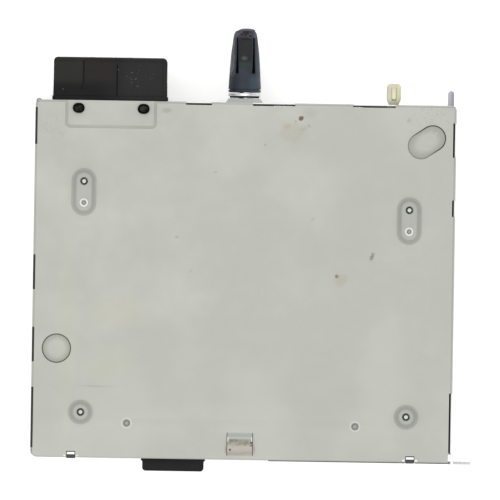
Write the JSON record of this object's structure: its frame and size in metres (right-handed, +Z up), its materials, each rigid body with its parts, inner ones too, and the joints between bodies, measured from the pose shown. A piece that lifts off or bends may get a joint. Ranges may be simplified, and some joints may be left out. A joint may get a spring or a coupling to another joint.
{
  "type": "car radio",
  "caption": "One-slot car radio lying on its cover: folded steel case, rear connectors and boot-covered stud, disc slot, and a slot-in disc deck inside.",
  "frame": {"origin": "middle of the lower cover's flat underside, on which the unit lies", "axes": "+Z up through the folded top, +Y to the rear with its connectors and stud, +X to the right seen from above"},
  "size_m": [0.1888, 0.1899, 0.0513],
  "materials": {
    "case_steel": "satin zinc-plated sheet steel with a pale coating",
    "cover_steel": "satin zinc-plated sheet steel",
    "panel_steel": "satin zinc-plated sheet steel",
    "strip_steel": "zinc-plated",
    "black_nylon": "semi-gloss moulded",
    "peg_black": "fine textured",
    "cream_nylon": "semi-gloss moulded",
    "bright_steel": "bright-plated",
    "boot_rubber": "matt",
    "bush_rubber": "matt",
    "tin_plate": "bright tinplate",
    "contact_tin": "tinned",
    "brass": "satin",
    "board_green": "solder-resist laminate",
    "sink_aluminium": "extruded",
    "chip_epoxy": "moulded epoxy",
    "sleeve_blue": "shrunk sleeve",
    "felt_grey": "felt",
    "deck_steel": "zinc-plated",
    "sled_grey": "moulded, filled",
    "lens_glass": "coated lens",
    "acetal_white": "moulded acetal",
    "motor_can": "nickel-plated can"
  },
  "bodies": {
    "chassis": {"main_chassis": "case_steel", "lower_cover": "cover_steel", "front_panel": "panel_steel", "mounting_strip": "strip_steel", "slot_felt_upper": "felt_grey", "slot_felt_lower": "felt_grey", "main_connector_housing": "black_nylon", "power_pin_header": "contact_tin", "signal_pin_header": "contact_tin", "connector_peg_left": "peg_black", "connector_peg_right": "peg_black", "aerial_socket": "cream_nylon", "aerial_ferrule": "brass", "aerial_pin": "contact_tin", "rear_stud": "bright_steel", "stud_ring": "bright_steel", "rubber_boot": "boot_rubber", "front_connector": "black_nylon", "front_pin_header": "contact_tin", "main_board": "board_green", "heat_sink": "sink_aluminium", "amplifier_chip": "chip_epoxy", "tuner_can": "tin_plate", "filter_capacitor": "sleeve_blue", "deck_frame": "deck_steel", "traverse_plate": "deck_steel", "spindle_motor": "motor_can", "guide_rod_main": "bright_steel", "guide_rod_second": "bright_steel", "sled_motor": "motor_can", "disc_guide": "black_nylon", "loading_motor": "motor_can", "loading_belt": "bush_rubber", "board_screw_rear_left": "bright_steel", "board_screw_rear_right": "bright_steel", "board_screw_front_left": "bright_steel", "board_screw_front_right": "bright_steel", "deck_screw_front_left": "bright_steel", "deck_screw_front_right": "bright_steel", "deck_screw_rear_left": "bright_steel", "deck_screw_rear_right": "bright_steel", "cover_screw_left": "bright_steel", "cover_screw_right": "bright_steel", "damper_bush_front_left": "bush_rubber", "damper_bush_front_right": "bush_rubber", "damper_bush_rear_left": "bush_rubber", "damper_bush_rear_right": "bush_rubber"},
    "turntable": {"turntable": "black_nylon"},
    "sled": {"pickup_sled": "sled_grey", "objective_lens": "lens_glass"},
    "lead_screw": {"lead_screw": "bright_steel"},
    "mode_slide": {"mode_slide": "deck_steel"},
    "clamp_arm": {"clamp_arm": "deck_steel"},
    "clamp_puck": {"clamp_puck": "acetal_white"},
    "roller_arm": {"roller_arm": "deck_steel"},
    "roller": {"roller_shaft": "bright_steel", "roller_rubber": "bush_rubber", "roller_gear": "acetal_white"},
    "drive_gear": {"drive_gear": "acetal_white"},
    "motor_pulley": {"motor_pulley": "brass"}
  },
  "joints": [
    {"name": "turntable_spin", "type": "hinge", "parent": "chassis", "child": "turntable", "pos_m": [0, -0.004, 0.0185], "axis": [0, 0, 1], "continuous": true},
    {"name": "sled_slide", "type": "slide", "parent": "chassis", "child": "sled", "axis": [1, 0, 0], "range_m": [0, 0.035]},
    {"name": "lead_screw_spin", "type": "hinge", "parent": "chassis", "child": "lead_screw", "pos_m": [0.03, -0.029, 0.0125], "axis": [1, 0, 0], "range_deg": [0, 4201]},
    {"name": "mode_shift", "type": "slide", "parent": "chassis", "child": "mode_slide", "axis": [0, 1, 0], "range_m": [0, 0.008]},
    {"name": "clamp_arm_lift", "type": "hinge", "parent": "chassis", "child": "clamp_arm", "pos_m": [0, 0.048, 0.0266], "axis": [1, 0, 0], "range_deg": [0, 4]},
    {"name": "roller_arm_swing", "type": "hinge", "parent": "chassis", "child": "roller_arm", "pos_m": [0, -0.044, 0.0173], "axis": [1, 0, 0], "range_deg": [0, 8]},
    {"name": "clamp_puck_spin", "type": "hinge", "parent": "clamp_arm", "child": "clamp_puck", "pos_m": [0, -0.004, 0.0266], "axis": [0, 0, 1], "continuous": true},
    {"name": "drive_gear_spin", "type": "hinge", "parent": "chassis", "child": "drive_gear", "pos_m": [-0.0739, -0.062, 0.0282], "axis": [1, 0, 0], "continuous": true},
    {"name": "roller_spin", "type": "hinge", "parent": "roller_arm", "child": "roller", "pos_m": [0, -0.062, 0.0173], "axis": [1, 0, 0], "continuous": true},
    {"name": "motor_pulley_spin", "type": "hinge", "parent": "chassis", "child": "motor_pulley", "pos_m": [-0.0776, -0.038, 0.03], "axis": [1, 0, 0], "continuous": true}
  ],
  "couplings": [
    {"joint": "lead_screw_spin", "follows": "sled_slide", "rad_per_m": 2094.4},
    {"joint": "clamp_arm_lift", "follows": "mode_shift", "rad_per_m": 8.7266},
    {"joint": "roller_arm_swing", "follows": "mode_shift", "rad_per_m": 17.453},
    {"joint": "drive_gear_spin", "follows": "roller_spin", "ratio": -0.8},
    {"joint": "motor_pulley_spin", "follows": "roller_spin", "ratio": -1.6}
  ]
}
